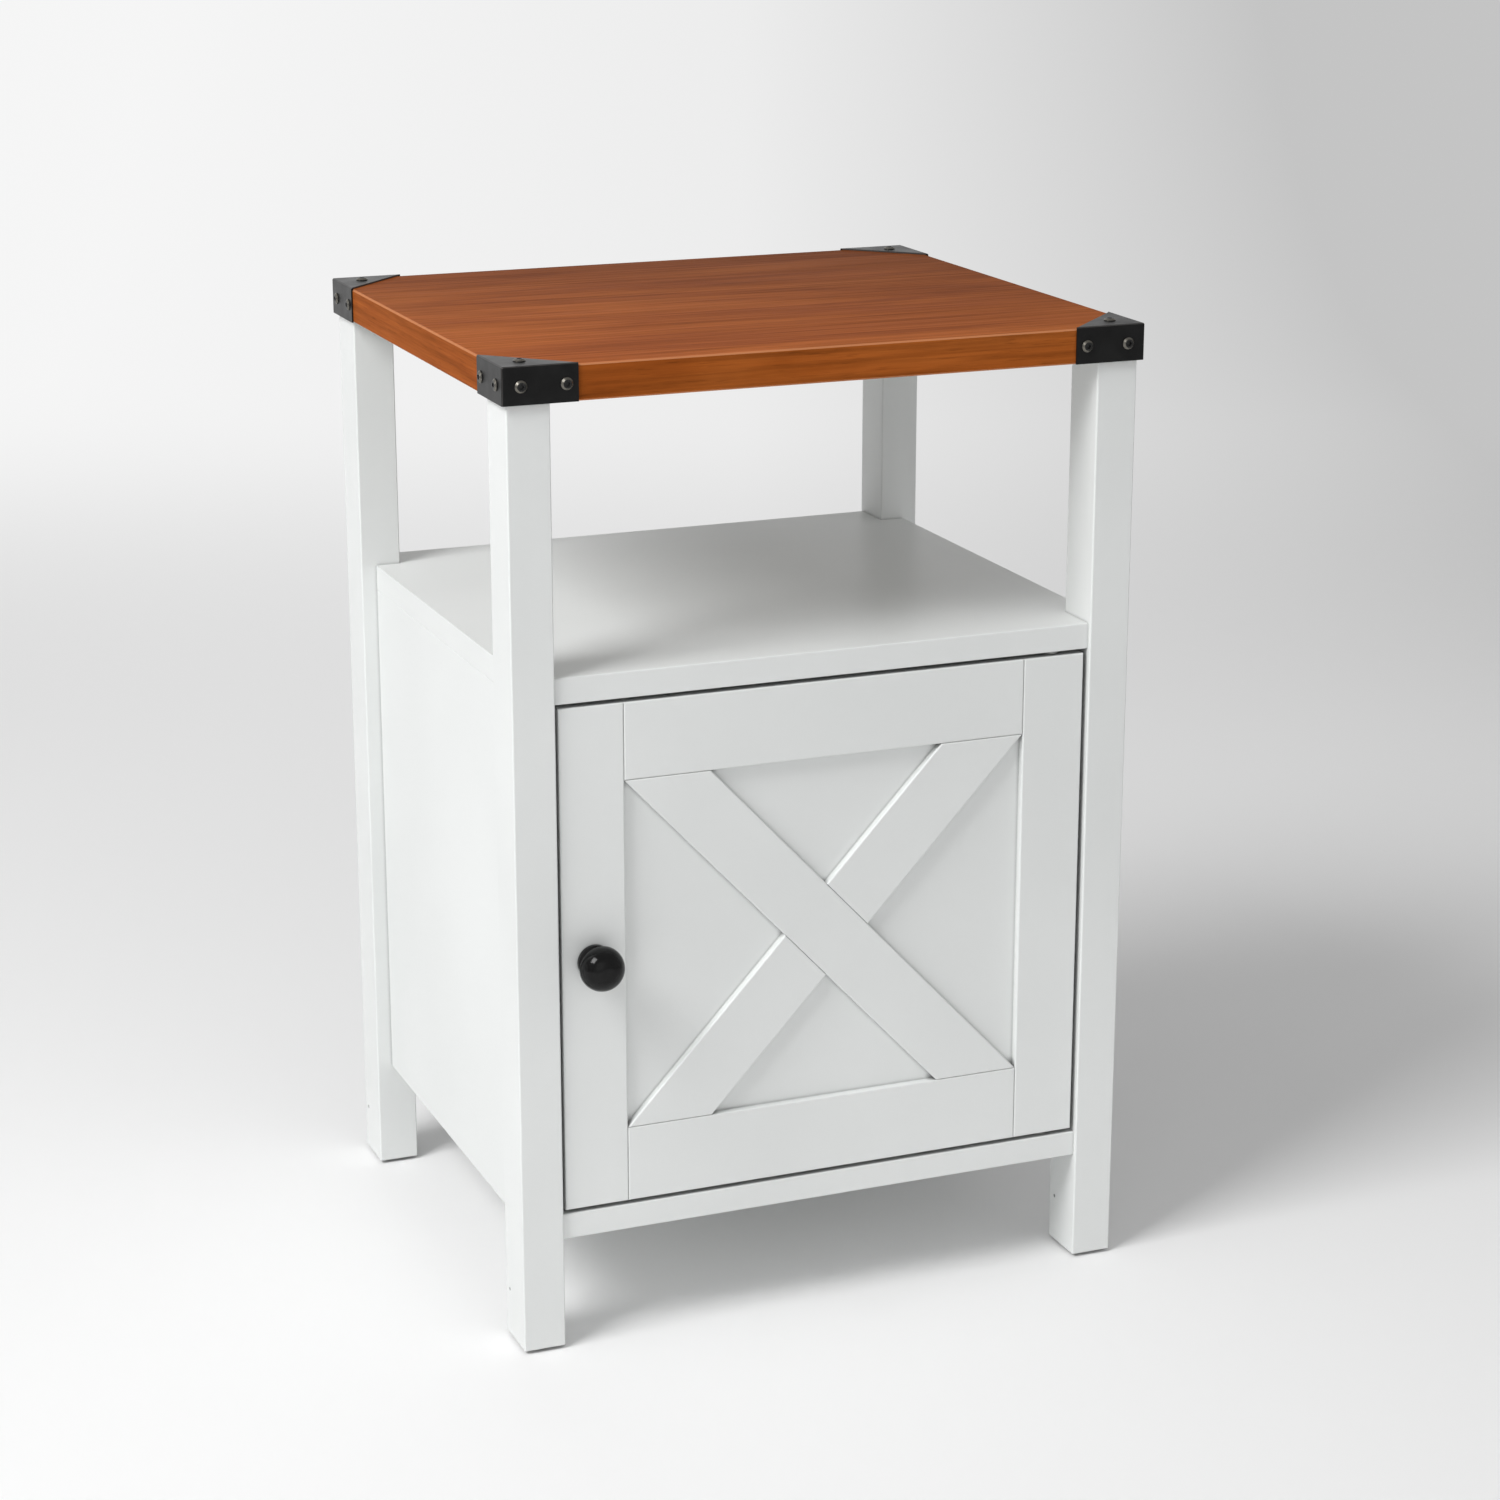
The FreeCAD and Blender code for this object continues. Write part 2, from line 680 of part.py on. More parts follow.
def frame_piece(label, corners, low_x, low_z):
    """A flat strip glued to the door's front, with eased front edges."""
    piece = slab(label + "_strip", corners, "door_frame_thick", (low_x, "door_panel_y", low_z), "XZ_Plane")
    soften(piece, "Fillet", "door_edge", face_edges)
    keep(label, piece)


def make_door_frame():
    """Stiles, rails and the crossed brace on the door's front."""
    stile = rectangle("stile_width", "door_height")
    frame_piece("door_stile_left", stile, "-door_x", "door_low")
    frame_piece("door_stile_right", stile, "door_x - stile_width", "door_low")
    inner_x = "stile_width - door_x"
    inner_z = "door_low + rail_width"
    rail = rectangle("frame_width", "rail_width")
    frame_piece("door_rail_bottom", rail, inner_x, "door_low")
    frame_piece("door_rail_top", rail, inner_x, "door_top - rail_width")
    frame_piece("door_brace_long", [
        ("0", "frame_height"),
        ("frame_width - brace_foot", "0"),
        ("frame_width", "0"),
        ("brace_foot", "frame_height"),
    ], inner_x, inner_z)
    frame_piece("door_brace_upper", [
        ("frame_width", "frame_height"),
        ("frame_width - brace_foot", "frame_height"),
        ("frame_width / 2", "frame_height - brace_crossing"),
        ("frame_width / 2 + brace_foot / 2", "frame_height / 2"),
    ], inner_x, inner_z)
    frame_piece("door_brace_lower", [
        ("0", "0"),
        ("brace_foot", "0"),
        ("frame_width / 2", "brace_crossing"),
        ("frame_width / 2 - brace_foot / 2", "frame_height / 2"),
    ], inner_x, inner_z)


def make_knob():
    """The turned knob on the left stile and the screw that holds it from behind."""
    neck_end = "knob_length - knob_head_length"
    profile = [
        ("0", "0"),
        ("knob_flange_radius", "0"),
        ("knob_flange_radius", "knob_flange_thick"),
        ("knob_neck_radius", "knob_flange_thick + (knob_flange_radius - knob_neck_radius) / 2"),
        ("knob_neck_radius", neck_end + " - knob_rim"),
        ("knob_radius", neck_end),
        ("knob_radius", "knob_length"),
        ("0", "knob_length"),
    ]
    seat = ("knob_x", "door_face_y", "door_middle_z")
    knob = turned("turned_knob", profile, seat, "-y")
    soften(knob, "Fillet", "knob_dome", lambda shape: edges_at(shape, "ZMax"))
    soften(knob, "Fillet", "knob_rim / 2", rim_edges)
    back = ("knob_x", "door_back_y", "door_middle_z")
    length = "door_thick + knob_screw_grip"
    hole = rod("knob_hole", moved(back, "+y", "overrun"), "-y", "knob_screw_radius", length + " + overrun")
    for label in ("knob", "door_panel", "door_stile_left"):
        cut_from(label, hole)
    keep("knob", knob)
    keep("knob_screw", screw("knob_bolt", back, "+y", "knob_screw_radius", length,
                             "knob_screw_head_radius", "knob_screw_head_height", "knob_screw_radius / 2"))


def rim_edges(shape):
    """The widest round edge of the knob, at the back of its head."""
    near = shape.BoundBox.DiagonalLength * SAME_PLANE_SHARE
    wide = [edge for edge in shape.Edges if abs(edge.BoundBox.XLength - shape.BoundBox.XLength) < near]
    rim = min(wide, key=lambda edge: edge.BoundBox.ZMax)
    return ["Edge%d" % number for number, edge in enumerate(shape.Edges, start=1) if edge.isSame(rim)]


def make_hinges():
    """Pivot pins in the shelf and the bottom panel, and the door's two bushes."""
    ends = {
        "upper": ("shelf_panel", "shelf_low", "-z", "door_top"),
        "lower": ("bottom_panel", "bottom_top", "+z", "door_low"),
    }
    for end, (panel, level, toward_door, door_edge) in ends.items():
        face = ("pivot_x", "pivot_y", level)
        away = opposite(toward_door)
        profile = [
            ("0", "0"),
            ("pivot_pin_radius", "0"),
            ("pivot_pin_radius", "pivot_pin_grip"),
            ("pivot_collar_radius", "pivot_pin_grip"),
            ("pivot_collar_radius", "pivot_pin_grip + collar_height"),
            ("pivot_pin_radius", "pivot_pin_grip + collar_height"),
            ("pivot_pin_radius", "pivot_pin_grip + door_gap + pivot_pin_reach"),
            ("0", "pivot_pin_grip + door_gap + pivot_pin_reach"),
        ]
        pin = turned(end + "_pivot", profile, moved(face, away, "pivot_pin_grip"), toward_door)
        cut_from(panel, rod(end + "_pivot_hole", moved(face, toward_door, "overrun"), away,
                            "pivot_pin_radius", "pivot_pin_grip + overrun"))
        keep("hinge_pin_" + end, pin)
        mouth = ("pivot_x", "pivot_y", door_edge)
        label = "hinge_bush_" + end
        cut_from(label, rod(end + "_bush_bore", moved(mouth, away, "overrun"), toward_door,
                            "pivot_pin_radius + pivot_play", "pivot_pin_reach + pivot_play + overrun"))
        keep(label, rod(end + "_bush", mouth, toward_door, "bush_radius", "bush_length"))
        hole = rod(end + "_bush_hole", moved(mouth, away, "overrun"), toward_door,
                   "bush_radius", "bush_length + overrun")
        cut_from("door_panel", hole)
        cut_from("door_stile_right", hole)


def make_catch():
    """The magnetic catch under the shelf, the plate on the door and their screws."""
    middle = "strike_middle_x"
    low = (middle + " - catch_width / 2", "catch_front_y", "shelf_low - catch_height")
    housing = slab("catch_case", rectangle("catch_width", "catch_depth"), "catch_height", low)
    soften(housing, "Fillet", "catch_edge", lambda shape: edges_along(shape, "Z"))
    magnet_low = (middle + " - magnet_width / 2", "catch_front_y", "catch_middle_z - magnet_height / 2")
    magnet_high = (middle + " + magnet_width / 2", "catch_front_y + magnet_depth",
                   "catch_middle_z + magnet_height / 2")
    pocket = block("magnet_pocket", (magnet_low[0], magnet_low[1] + " - overrun", magnet_low[2]), magnet_high)
    cut_from("catch_housing", pocket)
    keep("catch_magnet", block("magnet", magnet_low, magnet_high))
    strike_z = "catch_middle_z"
    strike_low = (middle + " - strike_width / 2", "door_back_y", strike_z + " - strike_height / 2")
    strike_high = (middle + " + strike_width / 2", "door_back_y + strike_thick",
                   strike_z + " + strike_height / 2")
    strike = block("strike", strike_low, strike_high)
    head = ("catch_screw_head_radius", "catch_screw_head_height", "catch_screw_radius / 2")
    catch_screws = []
    strike_screws = []
    for side, sign in SIDES.items():
        seat = (middle + " + " + mirrored(sign, "catch_screw_step"), "catch_front_y + catch_depth / 2",
                "shelf_low - catch_height")
        length = "catch_height + catch_screw_grip"
        catch_screws.append(screw(side + "_catch_bolt", seat, "-z", "catch_screw_radius", length, *head))
        hole = rod(side + "_catch_hole", moved(seat, "-z", "overrun"), "+z",
                   "catch_screw_radius", length + " + overrun")
        cut_from("catch_housing", hole)
        cut_from("shelf_panel", hole)
        plate_seat = (middle + " + " + mirrored(sign, "strike_screw_step"),
                      "door_back_y + strike_thick", strike_z)
        flush_seat = moved(plate_seat, "-y", "catch_screw_head_height")
        strike_screws.append(screw(side + "_strike_bolt", flush_seat, "+y",
                                   "catch_screw_radius", "catch_screw_grip", *head))
        plate_hole = rod(side + "_strike_hole", moved(plate_seat, "+y", "overrun"), "-y",
                         "catch_screw_radius", "catch_screw_grip + catch_screw_head_height + overrun")
        sink = rod(side + "_strike_sink", moved(plate_seat, "+y", "overrun"), "-y",
                   "catch_screw_head_radius", "catch_screw_head_height + overrun")
        cut_from("strike_plate", plate_hole)
        cut_from("strike_plate", sink)
        cut_from("door_panel", plate_hole)
    group("catch_screws", catch_screws)
    group("strike_screws", strike_screws)
    keep("catch_housing", housing)
    keep("strike_plate", strike)


def make_door_panel():
    """The door's flat panel behind its frame."""
    panel = slab("door_board", rectangle("2 * door_x", "door_height"), "door_panel_thick",
                 ("-door_x", "door_back_y", "door_low"), "XZ_Plane")
    keep("door_panel", panel)


def check_and_write():
    """Recompute, stop at anything that failed, and write one file per piece."""
    doc.recompute()
    for item in doc.Objects:
        if "Invalid" in item.State or "Error" in item.State:
            raise RuntimeError("%s did not recompute: %s" % (item.Label, item.State))
    if cutters:
        raise RuntimeError("cutters without a piece: %s" % sorted(cutters))
    os.makedirs("parts", exist_ok=True)
    for piece in pieces:
        if piece.Shape.isNull() or not piece.Shape.isValid() or piece.Shape.Volume <= 0:
            raise RuntimeError("%s has no valid shape" % piece.Label)
    for piece in pieces:
        piece.Shape.exportStep("parts/%s.step" % piece.Label)
        print("%-28s %3d solids %12.1f mm3" % (piece.Label, len(piece.Shape.Solids), piece.Shape.Volume))


fill_sheet()
make_fittings()
make_hinges()
make_catch()
make_knob()
make_top()
for corner_name, (side_x, side_y) in CORNERS.items():
    make_leg(corner_name, side_x, side_y)
make_shelf()
make_bottom()
make_sides()
make_back()
make_door_panel()
make_door_frame()
check_and_write()
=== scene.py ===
"""The nightstand's finish: stained wood top, white painted cabinet, black brackets and knob."""
import json
import math

import bpy
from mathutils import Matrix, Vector


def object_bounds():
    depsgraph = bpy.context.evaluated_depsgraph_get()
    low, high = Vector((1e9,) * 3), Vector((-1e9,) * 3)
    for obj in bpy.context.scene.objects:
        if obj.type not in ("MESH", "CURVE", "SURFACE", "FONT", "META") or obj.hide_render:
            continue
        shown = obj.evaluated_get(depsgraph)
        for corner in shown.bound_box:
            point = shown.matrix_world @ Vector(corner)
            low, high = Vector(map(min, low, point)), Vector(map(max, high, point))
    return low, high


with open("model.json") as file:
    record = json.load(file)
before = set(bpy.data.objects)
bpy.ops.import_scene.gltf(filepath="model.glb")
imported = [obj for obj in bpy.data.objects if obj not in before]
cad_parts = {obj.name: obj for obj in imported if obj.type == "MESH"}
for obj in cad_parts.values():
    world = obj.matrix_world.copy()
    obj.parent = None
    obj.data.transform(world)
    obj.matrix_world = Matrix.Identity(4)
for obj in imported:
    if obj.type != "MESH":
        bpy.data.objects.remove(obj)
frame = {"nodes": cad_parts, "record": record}        # nodes and the record of the imported model
CAD_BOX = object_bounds()
NODES = frame["nodes"]

# Camera: where it looks from, in degrees and metres, and how much it shows
CAMERA_AZIMUTH = -22.0
CAMERA_ELEVATION = 16.5
CAMERA_DISTANCE = 2.2
CAMERA_LENS = 82.2
CAMERA_SENSOR = 36.0
AIM_RIGHT = 0.018
AIM_BACK = 0.008
AIM_HEIGHT_SHARE = 0.513

# Lamps: the way to each from the object, its distance, its side and its power in watts
LAMP_AIM_HEIGHT_SHARE = 0.5
LAMPS = {
    "key": ((-0.67, -0.25, 0.70), 3.6, 1.5, 92.0),
    "fill": ((-0.30, -0.95, 0.28), 3.0, 2.0, 4.5),
}
WORLD_LEVEL = 0.48

# Backdrop: a floor that bends up into a wall, in metres
FLOOR_HALF_WIDTH = 16.0
FLOOR_FRONT = -14.0
WALL_BACK = 5.0
WALL_HEIGHT = 9.0
WALL_BEND = 2.5
WALL_STEPS = 16
# Painted shade: it greys between these two distances from the object
SHADE_START_REACH = 1.0
SHADE_FULL_REACH = 2.8
# Its glow grows between these two distances behind the object, up to a share of all that is seen
GLOW_START = 0.2
GLOW_FULL = 2.8
GLOW_SHARE = 0.90
GLOW_HALF_WIDTH = 1.0

# A face looks square on along an axis above this share of its normal
SQUARE_ON = 0.8
# How strongly a painted highlight lightens the wood's bevels
BEVEL_HIGHLIGHT_SHARE = 0.6
# How deep the wood's rings, streaks and pores are
RINGS_SHARE = 0.24
STREAKS_SHARE = 0.85
PORES_SHARE = 0.50
# Painted light and shade across the top, falling off from its front left to its back right over this reach in
# metres, and a flat tone on its edges
FALLOFF_NEAR = 1.45
FALLOFF_FAR = 0.62
FALLOFF_REACH = 0.24
FALLOFF_TURN = 30.0
EDGE_TONE = 1.10
# How far apart, in metres, two faces still get painted shade in the crevice between them, and what is left of the
# paint's brightness there
CREVICE_REACH = 0.004
CREVICE_SHADE_SHARE = 0.30
CREVICE_SAMPLES = 8
# How dull a finish's darker patches are against its colour
PLATED_DULL_SHARE = 0.8
MOULDED_DULL_SHARE = 0.88
# The strength of each finish's mirror reflection
WOOD_GLOSS = 0.01
STEEL_GLOSS = 0.24
KNOB_GLOSS = 0.20

# Colours in linear light
WOOD_DEEP = (0.240, 0.056, 0.0091)
WOOD_MID = (0.303, 0.0765, 0.0129)
WOOD_PALE = (0.369, 0.101, 0.0196)
# Painted highlight on the wood's bevels
WOOD_BEVEL_HIGHLIGHT = (0.62, 0.27, 0.13)
BACKING = (0.42, 0.40, 0.37)
WHITE_LOW = (0.772, 0.788, 0.780)
WHITE_HIGH = (0.812, 0.828, 0.820)
BLACK_LOW = (0.004, 0.004, 0.004)
BLACK_HIGH = (0.009, 0.009, 0.009)
# Painted highlight on the brackets' bends
BLACK_BEND_HIGHLIGHT = (0.060, 0.056, 0.054)
ZINC = (0.62, 0.62, 0.60)
NICKEL = (0.17, 0.16, 0.14)
NYLON_BLACK = (0.045, 0.045, 0.045)
NYLON_WHITE = (0.78, 0.78, 0.76)
FERRITE = (0.060, 0.060, 0.065)
BEECH_LOW = (0.50, 0.33, 0.17)
BEECH_HIGH = (0.64, 0.45, 0.26)
BACKDROP = (0.92, 0.92, 0.92)
# Painted shade on the far floor and wall
BACKDROP_FAR_SHADE = (0.58, 0.58, 0.58)
GLOW_LEFT = (0.98, 0.98, 0.98)
GLOW_MIDDLE = (0.90, 0.90, 0.90)
GLOW_RIGHT = (0.58, 0.58, 0.58)

# Where a mix node keeps its factor, its two inputs and its output, for each kind of data
MIX_SOCKETS = {"RGBA": ((0, 6, 7), 2), "VECTOR": ((0, 4, 5), 1)}


def material(name):
    """A new node material with its tree and its shader."""
    made = bpy.data.materials.new(name)
    made.use_nodes = True
    return made, made.node_tree, made.node_tree.nodes["Principled BSDF"]


def add(tree, kind, **values):
    """A node with its settings and plain inputs."""
    node = tree.nodes.new(kind)
    for key, value in values.items():
        if key in node.inputs:
            node.inputs[key].default_value = value
        else:
            setattr(node, key, value)
    return node


def feed(tree, socket, value):
    """Give a socket another socket's value, a plain number or a colour."""
    if isinstance(value, bpy.types.NodeSocket):
        tree.links.new(value, socket)
    elif isinstance(value, tuple):
        socket.default_value = (*value, 1.0)
    else:
        socket.default_value = value


def grey(value):
    """A grey of one value."""
    return (value, value, value)


def ramp(tree, source, stops):
    """A colour ramp over a factor, from (position, colour) stops."""
    node = tree.nodes.new("ShaderNodeValToRGB")
    elements = node.color_ramp.elements
    while len(elements) < len(stops):
        elements.new(1.0)
    for element, (position, colour) in zip(elements, stops):
        element.position = position
        element.color = (*colour, 1.0)
    tree.links.new(source, node.inputs["Fac"])
    return node.outputs["Color"]


def mix(tree, factor, first, second, blend="MIX", data="RGBA"):
    """Two colours or vectors mixed; each input is a plain value or a socket."""
    node = add(tree, "ShaderNodeMix", data_type=data)
    node.blend_type = blend
    places, result = MIX_SOCKETS[data]
    for index, value in zip(places, (factor, first, second)):
        feed(tree, node.inputs[index], value)
    return node.outputs[result]


def multiply(tree, factor, first, second):
    """One colour darkened by another."""
    return mix(tree, factor, first, second, blend="MULTIPLY")


def math_node(tree, operation, first, second=None):
    """A sum of one or two numbers, each a plain value or a socket."""
    node = add(tree, "ShaderNodeMath", operation=operation)
    for socket, value in zip(node.inputs, (first, second)):
        if value is not None:
            feed(tree, socket, value)
    return node.outputs["Value"]


def span(tree, value, low, high, to_low=0.0, to_high=1.0, kind="LINEAR"):
    """A number carried from one span to another."""
    limits = {"From Min": low, "From Max": high, "To Min": to_low, "To Max": to_high}
    node = add(tree, "ShaderNodeMapRange", interpolation_type=kind, **limits)
    tree.links.new(value, node.inputs["Value"])
    return node.outputs["Result"]


def own_coordinates(tree, kind="Object"):
    """The object's own coordinates, or its normals."""
    return add(tree, "ShaderNodeTexCoord").outputs[kind]


def parts_of(tree, vector):
    """A vector's three parts, as sockets."""
    node = add(tree, "ShaderNodeSeparateXYZ")
    tree.links.new(vector, node.inputs["Vector"])
    return node.outputs


def place(tree, scale=(1.0, 1.0, 1.0), turn=(0.0, 0.0, 0.0), offset=(0.0, 0.0, 0.0), source=None):
    """Object coordinates, turned, moved and stretched in that order."""
    if source is None:
        source = own_coordinates(tree)
    moved = add(tree, "ShaderNodeMapping", Location=offset, Rotation=turn)
    stretched = add(tree, "ShaderNodeMapping", Scale=scale)
    tree.links.new(source, moved.inputs["Vector"])
    tree.links.new(moved.outputs["Vector"], stretched.inputs["Vector"])
    return stretched.outputs["Vector"]


def noise(tree, vector, scale, detail=4.0, roughness=0.55, distortion=0.0):
    """A noise over a vector."""
    node = add(tree, "ShaderNodeTexNoise", Scale=scale, Detail=detail, Roughness=roughness,
               Distortion=distortion)
    tree.links.new(vector, node.inputs["Vector"])
    return node.outputs["Fac"]


def bump(tree, shader, height, strength, distance):
    """Bump from a height, joined to a shader."""
    node = add(tree, "ShaderNodeBump", Strength=strength, Distance=distance)
    tree.links.new(height, node.inputs["Height"])
    tree.links.new(node.outputs["Normal"], shader.inputs["Normal"])


def normal_parts(tree):
    """The three parts of a face's normal, as sockets."""
    return parts_of(tree, own_coordinates(tree, "Normal"))


def square_to(tree, axis):
    """One on faces that look squarely along an axis, either way, and zero elsewhere."""
    return math_node(tree, "GREATER_THAN", math_node(tree, "ABSOLUTE", normal_parts(tree)[axis]), SQUARE_ON)


def on_bevel(tree):
    """One on faces that look squarely along no axis, such as bevels, and zero elsewhere."""
    parts = normal_parts(tree)
    wide, deep, high = (math_node(tree, "ABSOLUTE", parts[axis]) for axis in "XYZ")
    largest = math_node(tree, "MAXIMUM", math_node(tree, "MAXIMUM", wide, deep), high)
    return math_node(tree, "LESS_THAN", largest, SQUARE_ON)


def along_grain(tree):
    """Coordinates whose X runs with the grain: along X, but along Y on the two short edges."""
    straight = own_coordinates(tree)
    parts = parts_of(tree, straight)
    crossed = add(tree, "ShaderNodeCombineXYZ")
    for source, target in (("Y", "X"), ("X", "Y"), ("Z", "Z")):
        tree.links.new(parts[source], crossed.inputs[target])
    return mix(tree, square_to(tree, "X"), straight, crossed.outputs["Vector"], data="VECTOR")


def painted_light_falloff(tree):
    """Painted light and shade: brighter near and darker far across the top, and an even tone on its edges."""
    turned = place(tree, turn=(0.0, 0.0, math.radians(FALLOFF_TURN)))
    across = span(tree, parts_of(tree, turned)["Y"], -FALLOFF_REACH, FALLOFF_REACH, FALLOFF_NEAR, FALLOFF_FAR)
    return mix(tree, square_to(tree, "Z"), grey(EDGE_TONE), across)


def wood_top():
    """Reddish brown stained veneer with soft bands, fine streaks and pores, pale underneath."""
    made, tree, shader = material("wood_top")
    grain = along_grain(tree)
    heart = place(tree, scale=(0.30, 1.0, 1.0), turn=(0.0, 0.04, 0.01), offset=(0.0, -0.04, -0.45),
                  source=grain)
    waves = {"Detail Scale": 0.5, "Detail Roughness": 0.65}
    rings = add(tree, "ShaderNodeTexWave", wave_type="RINGS", rings_direction="X", Scale=52.0,
                Distortion=6.0, Detail=4.0, **waves)
    tree.links.new(heart, rings.inputs["Vector"])
    bands = noise(tree, place(tree, (1.6, 8.0, 8.0), source=grain), 2.8, 4.0, 0.6, 0.6)
    streaks = noise(tree, place(tree, (2.4, 110.0, 110.0), source=grain), 2.4, 6.0, 0.68)
    pores = noise(tree, place(tree, (30.0, 700.0, 700.0), source=grain), 1.6, 2.0, 0.6)
    stained = ramp(tree, bands, [(0.30, WOOD_DEEP), (0.50, WOOD_MID), (0.72, WOOD_PALE)])
    dark_rings = ramp(tree, rings.outputs["Fac"], [(0.0, grey(0.74)), (0.55, grey(1.08))])
    dark_streaks = ramp(tree, streaks, [(0.36, grey(0.66)), (0.58, grey(1.08))])
    dark_pores = ramp(tree, pores, [(0.30, grey(0.50)), (0.40, grey(1.0))])
    # The last factor is painted light falling off across the top.
    for share, shade in ((RINGS_SHARE, dark_rings), (STREAKS_SHARE, dark_streaks),
                         (PORES_SHARE, dark_pores), (1.0, painted_light_falloff(tree))):
        stained = multiply(tree, share, stained, shade)
    # Painted highlight: the bevels are lightened towards a pale colour.
    wear_and_highlight = math_node(tree, "MULTIPLY", on_bevel(tree), BEVEL_HIGHLIGHT_SHARE)
    underneath = math_node(tree, "LESS_THAN", normal_parts(tree)["Z"], -SQUARE_ON)
    board = mix(tree, underneath, mix(tree, wear_and_highlight, stained, WOOD_BEVEL_HIGHLIGHT), BACKING)
    tree.links.new(board, shader.inputs["Base Color"])
    tree.links.new(ramp(tree, streaks, [(0.3, grey(0.50)), (0.7, grey(0.40))]), shader.inputs["Roughness"])
    shader.inputs["Specular IOR Level"].default_value = WOOD_GLOSS
    bump(tree, shader, pores, 0.15, 0.0003)
    return made


def white_paint():
    """Smooth satin white paint with a faint sprayed texture, and painted shade in its crevices."""
    made, tree, shader = material("white_paint")
    vector = place(tree)
    clouds = noise(tree, vector, 5.0, 2.0)
    peel = noise(tree, vector, 650.0, 2.0)
    paint = ramp(tree, clouds, [(0.35, WHITE_LOW), (0.65, WHITE_HIGH)])
    # Painted shade: ambient occlusion darkens the paint where faces close in.
    crevice = add(tree, "ShaderNodeAmbientOcclusion", samples=CREVICE_SAMPLES, Distance=CREVICE_REACH)
    crevice_shade = ramp(tree, crevice.outputs["AO"], [(0.10, grey(CREVICE_SHADE_SHARE)), (0.75, grey(1.0))])
    tree.links.new(multiply(tree, 1.0, paint, crevice_shade), shader.inputs["Base Color"])
    tree.links.new(ramp(tree, peel, [(0.3, grey(0.34)), (0.7, grey(0.44))]), shader.inputs["Roughness"])
    bump(tree, shader, peel, 0.06, 0.0002)
    return made


def black_coat(name, rough_low, rough_high, gloss, wear_and_highlight):
    """Black powder coat with a fine grain, in another tone on its bends, a painted highlight where that tone is
    paler.
    """
    made, tree, shader = material(name)
    vector = place(tree)
    grain = noise(tree, vector, 700.0, 3.0)
    clouds = noise(tree, vector, 60.0, 3.0)
    coat = ramp(tree, clouds, [(0.3, BLACK_LOW), (0.75, BLACK_HIGH)])
    # The bends take the given tone: a painted highlight on the brackets.
    tree.links.new(mix(tree, on_bevel(tree), coat, wear_and_highlight), shader.inputs["Base Color"])
    dull = ramp(tree, clouds, [(0.3, grey(rough_low)), (0.7, grey(rough_high))])
    tree.links.new(dull, shader.inputs["Roughness"])
    shader.inputs["Specular IOR Level"].default_value = gloss
    bump(tree, shader, grain, 0.20, 0.0003)
    return made


def plated(name, colour):
    """Plated steel with a faint uneven polish."""
    made, tree, shader = material(name)
    clouds = noise(tree, place(tree), 220.0, 3.0)
    dull = tuple(PLATED_DULL_SHARE * part for part in colour)
    tree.links.new(ramp(tree, clouds, [(0.3, dull), (0.7, colour)]), shader.inputs["Base Color"])
    tree.links.new(ramp(tree, clouds, [(0.3, grey(0.28)), (0.7, grey(0.38))]), shader.inputs["Roughness"])
    shader.inputs["Metallic"].default_value = 1.0
    return made


def worn_screws():
    """Black screws whose bevelled rims are worn to bright nickel."""
    made, tree, shader = material("dark_nickel")
    wear_and_highlight = on_bevel(tree)
    scratches = noise(tree, place(tree), 900.0, 3.0)
    tree.links.new(mix(tree, wear_and_highlight, BLACK_HIGH, NICKEL), shader.inputs["Base Color"])
    tree.links.new(wear_and_highlight, shader.inputs["Metallic"])
    polish = ramp(tree, scratches, [(0.3, grey(0.26)), (0.7, grey(0.42))])
    tree.links.new(polish, shader.inputs["Roughness"])
    bump(tree, shader, scratches, 0.10, 0.0001)
    return made


def moulded(name, colour, roughness):
    """Moulded plastic or pressed ferrite with a fine texture."""
    made, tree, shader = material(name)
    vector = place(tree)
    dull = tuple(MOULDED_DULL_SHARE * part for part in colour)
    tint = ramp(tree, noise(tree, vector, 25.0, 2.0), [(0.3, dull), (0.7, colour)])
    tree.links.new(tint, shader.inputs["Base Color"])
    shader.inputs["Roughness"].default_value = roughness
    bump(tree, shader, noise(tree, vector, 700.0, 2.0), 0.1, 0.0002)
    return made


def beech():
    """Pale beech of the dowels."""
    made, tree, shader = material("dowel_wood")
    streaks = noise(tree, place(tree, grey(60.0)), 4.0, 4.0)
    tree.links.new(ramp(tree, streaks, [(0.35, BEECH_LOW), (0.65, BEECH_HIGH)]), shader.inputs["Base Color"])
    shader.inputs["Roughness"].default_value = 0.6
    return made


def dress_nodes():
    """Give every piece the finish of its material slot."""
    finishes = {
        "wood_top": wood_top(),
        "white_paint": white_paint(),
        "black_steel": black_coat("black_steel", 0.30, 0.40, STEEL_GLOSS, BLACK_BEND_HIGHLIGHT),
        "dark_nickel": worn_screws(),
        "black_knob": black_coat("black_knob", 0.11, 0.16, KNOB_GLOSS, BLACK_LOW),
        "glide_plastic": moulded("glide_plastic", NYLON_BLACK, 0.6),
        "zinc_steel": plated("zinc_steel", ZINC),
        "dowel_wood": beech(),
        "catch_plastic": moulded("catch_plastic", NYLON_WHITE, 0.45),
        "magnet_black": moulded("magnet_black", FERRITE, 0.5),
    }
    slots = {entry["node"]: entry["material_slot"] for entry in frame["record"]["subparts"]}
    for name, piece in NODES.items():
        for held in piece.material_slots:
            held.material = finishes[slots[name]]


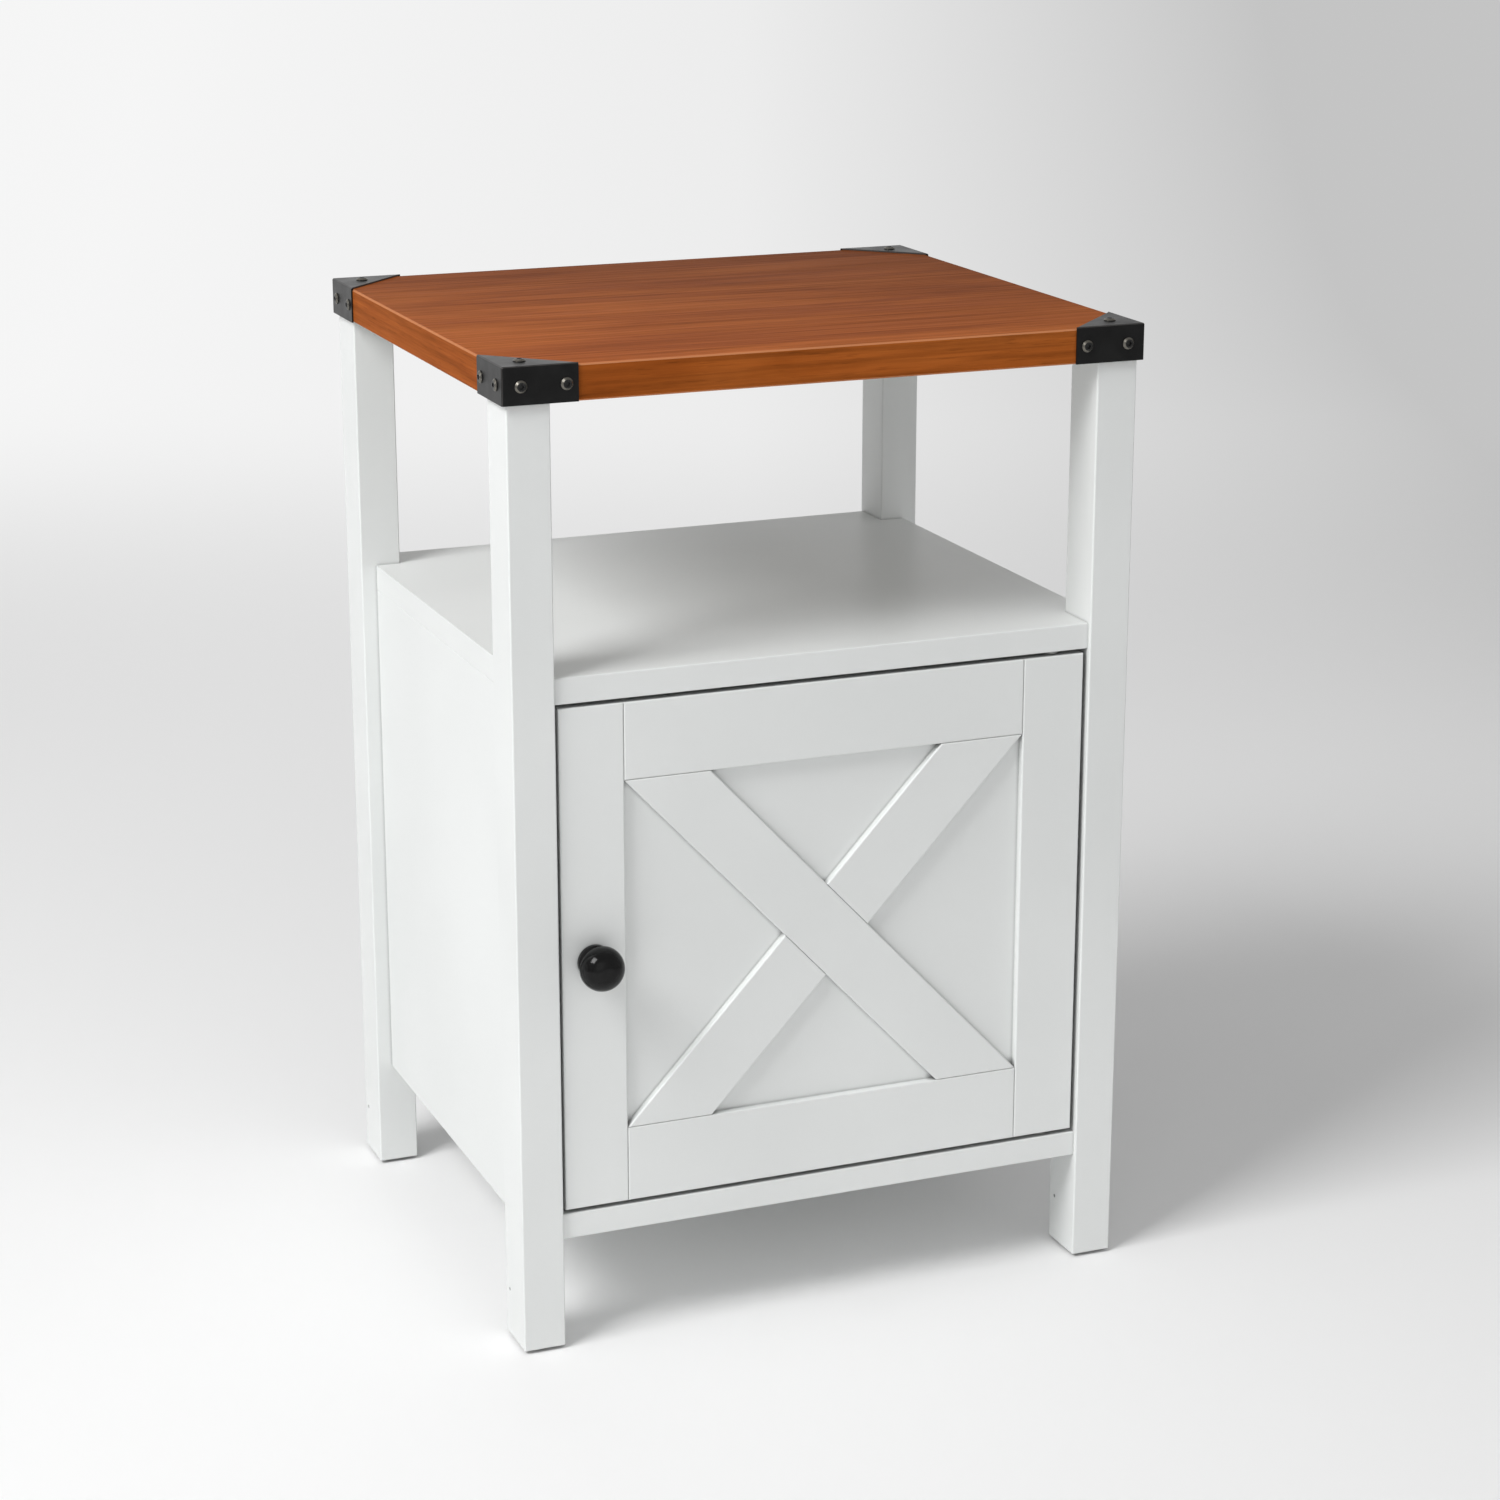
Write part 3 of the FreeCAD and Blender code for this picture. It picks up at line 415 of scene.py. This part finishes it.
def make_backdrop():
    """A pale floor that curves up into a wall behind the object."""
    profile = [(FLOOR_FRONT, 0.0)]
    for step in range(WALL_STEPS + 1):
        angle = math.pi / 2 * step / WALL_STEPS
        back = WALL_BACK - WALL_BEND * (1.0 - math.sin(angle))
        profile.append((back, WALL_BEND * (1.0 - math.cos(angle))))
    profile.append((WALL_BACK, WALL_HEIGHT))
    points = [(side * FLOOR_HALF_WIDTH, y, z) for y, z in profile for side in (-1, 1)]
    faces = [(2 * row, 2 * row + 1, 2 * row + 3, 2 * row + 2) for row in range(len(profile) - 1)]
    mesh = bpy.data.meshes.new("backdrop")
    mesh.from_pydata(points, [], faces)
    for face in mesh.polygons:
        face.use_smooth = True
    backdrop = bpy.data.objects.new("backdrop", mesh)
    bpy.context.scene.collection.objects.link(backdrop)
    mesh.materials.append(backdrop_paint())


def backdrop_paint():
    """Matt white with painted shade far away, and a painted glow seen towards the wall, brightest on the left."""
    made, tree, shader = material("backdrop")
    reach = add(tree, "ShaderNodeVectorMath", operation="LENGTH")
    tree.links.new(place(tree, (1.0, 1.0, 0.0)), reach.inputs[0])
    # Painted shade: the backdrop greys with distance from the object.
    away = span(tree, reach.outputs["Value"], SHADE_START_REACH, SHADE_FULL_REACH, kind="SMOOTHSTEP")
    floor = ramp(tree, away, [(0.0, BACKDROP), (1.0, BACKDROP_FAR_SHADE)])
    tree.links.new(floor, shader.inputs["Base Color"])
    shader.inputs["Roughness"].default_value = 0.9
    parts = parts_of(tree, place(tree, turn=(0.0, 0.0, -math.radians(CAMERA_AZIMUTH))))
    across = span(tree, parts["X"], -GLOW_HALF_WIDTH, GLOW_HALF_WIDTH)
    tones = ramp(tree, across, [(0.0, GLOW_LEFT), (0.5, GLOW_MIDDLE), (1.0, GLOW_RIGHT)])
    # Painted light: a glow, seen by the camera and in reflections.
    glow = add(tree, "ShaderNodeEmission")
    tree.links.new(tones, glow.inputs["Color"])
    depth = span(tree, parts["Y"], GLOW_START, GLOW_FULL, to_high=GLOW_SHARE, kind="SMOOTHSTEP")
    rays = add(tree, "ShaderNodeLightPath")
    seen = math_node(tree, "MAXIMUM", rays.outputs["Is Camera Ray"], rays.outputs["Is Glossy Ray"])
    blend = add(tree, "ShaderNodeMixShader")
    tree.links.new(math_node(tree, "MULTIPLY", seen, depth), blend.inputs["Fac"])
    tree.links.new(shader.outputs["BSDF"], blend.inputs[1])
    tree.links.new(glow.outputs["Emission"], blend.inputs[2])
    tree.links.new(blend.outputs["Shader"], tree.nodes["Material Output"].inputs["Surface"])
    return made


def look(item, spot, aim):
    """Put a lamp or a camera at a spot and turn it to its aim."""
    item.location = spot
    item.rotation_euler = (aim - spot).to_track_quat("-Z", "Y").to_euler()
    bpy.context.scene.collection.objects.link(item)


def make_lights():
    """Soft studio light from the left, and an even pale surround."""
    aim = Vector((0.0, 0.0, LAMP_AIM_HEIGHT_SHARE * CAD_BOX[1][2]))
    for name, (way, distance, side, power) in LAMPS.items():
        data = bpy.data.lights.new(name, "AREA")
        data.energy = power
        data.size = side
        look(bpy.data.objects.new(name, data), aim + Vector(way).normalized() * distance, aim)
    world = bpy.data.worlds.new("studio")
    bpy.context.scene.world = world
    world.use_nodes = True
    background = world.node_tree.nodes["Background"]
    background.inputs["Color"].default_value = (*grey(1.0), 1.0)
    background.inputs["Strength"].default_value = WORLD_LEVEL


def make_camera():
    """The camera at the photograph's viewing angle."""
    data = bpy.data.cameras.new("camera")
    data.sensor_width = CAMERA_SENSOR
    data.lens = CAMERA_LENS
    camera = bpy.data.objects.new("camera", data)
    azimuth = math.radians(CAMERA_AZIMUTH)
    elevation = math.radians(CAMERA_ELEVATION)
    level = math.cos(elevation)
    way = Vector((math.sin(azimuth) * level, -math.cos(azimuth) * level, math.sin(elevation)))
    aim = Vector((AIM_RIGHT, AIM_BACK, AIM_HEIGHT_SHARE * CAD_BOX[1][2]))
    look(camera, aim + way * CAMERA_DISTANCE, aim)
    bpy.context.scene.camera = camera


bpy.context.scene.view_settings.view_transform = "Standard"
dress_nodes()
make_backdrop()
make_lights()
make_camera()
